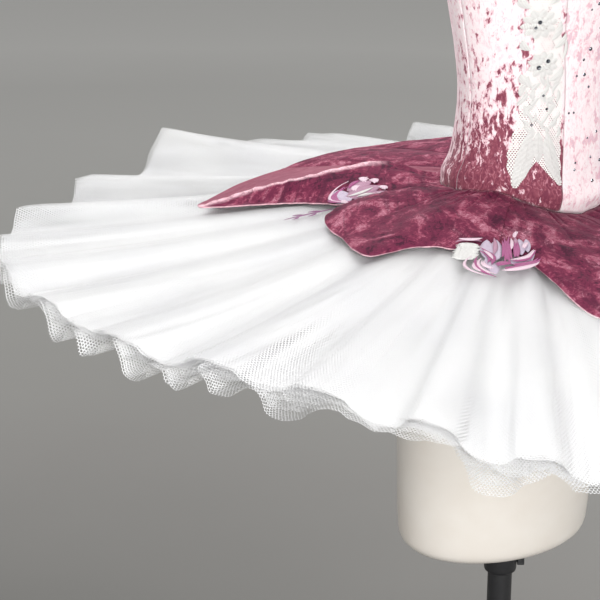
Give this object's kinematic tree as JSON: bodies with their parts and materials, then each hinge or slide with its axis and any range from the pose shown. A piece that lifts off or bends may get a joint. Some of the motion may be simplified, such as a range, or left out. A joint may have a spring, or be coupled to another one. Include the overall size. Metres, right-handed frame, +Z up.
{
  "type": "tutu on a dress form",
  "caption": "Flat classical ballet tutu with a fitted velvet bodice, petal-shaped velvet plate and fluted net skirt, on a limbless dress form with a pole stand.",
  "frame": {"origin": "centre of the stand's round foot, on the floor", "axes": "+Z up along the pole, -Y the wearer's front, -X the wearer's right"},
  "size_m": [1.1998, 1.2, 1.52],
  "materials": {
    "form_shell": "cream satin shell",
    "stand_steel": "black powder coat",
    "yoke_cotton": "white cotton twill",
    "white_net": "stiff white hexagonal net",
    "burgundy_velvet": "crushed burgundy velvet",
    "mottled_velvet": "pale pink velvet with burgundy mottling",
    "panel_velvet": "pale pink crushed velvet",
    "silver_lace": "off-white lace with silver thread",
    "flower_applique": "lavender and silver embroidery"
  },
  "bodies": {
    "stand": {"stand_foot": "stand_steel", "stand_pole": "stand_steel"},
    "collar": {"clamp_collar": "stand_steel", "clamp_screw": "stand_steel"},
    "form": {"form_torso": "form_shell", "hip_yoke": "yoke_cotton", "net_tier_1": "white_net", "net_tier_2": "white_net", "net_tier_3": "white_net", "net_tier_4": "white_net", "petal_front": "burgundy_velvet", "petal_side_right": "burgundy_velvet", "petal_side_left": "burgundy_velvet", "petal_hip_right": "burgundy_velvet", "petal_hip_left": "burgundy_velvet", "petal_back_right": "burgundy_velvet", "petal_back_left": "burgundy_velvet", "bodice_centre_front": "panel_velvet", "bodice_side_front_right": "mottled_velvet", "bodice_side_front_left": "mottled_velvet", "bodice_side_back_right": "mottled_velvet", "bodice_side_back_left": "mottled_velvet", "bodice_back_right": "mottled_velvet", "bodice_back_left": "mottled_velvet", "lace_trim_right": "silver_lace", "lace_trim_left": "silver_lace", "flower_front_right": "flower_applique", "flower_front_left": "flower_applique", "flower_hip_right": "flower_applique", "flower_hip_left": "flower_applique", "leaf_sprig_right": "flower_applique", "leaf_sprig_left": "flower_applique"}
  },
  "joints": [
    {"name": "height_slide", "type": "slide", "parent": "stand", "child": "collar", "axis": [0, 0, 1], "range_m": [-0.09, 0.12]},
    {"name": "form_turn", "type": "hinge", "parent": "collar", "child": "form", "pos_m": [0, 0, 0.51], "axis": [0, 0, 1], "continuous": true}
  ]
}
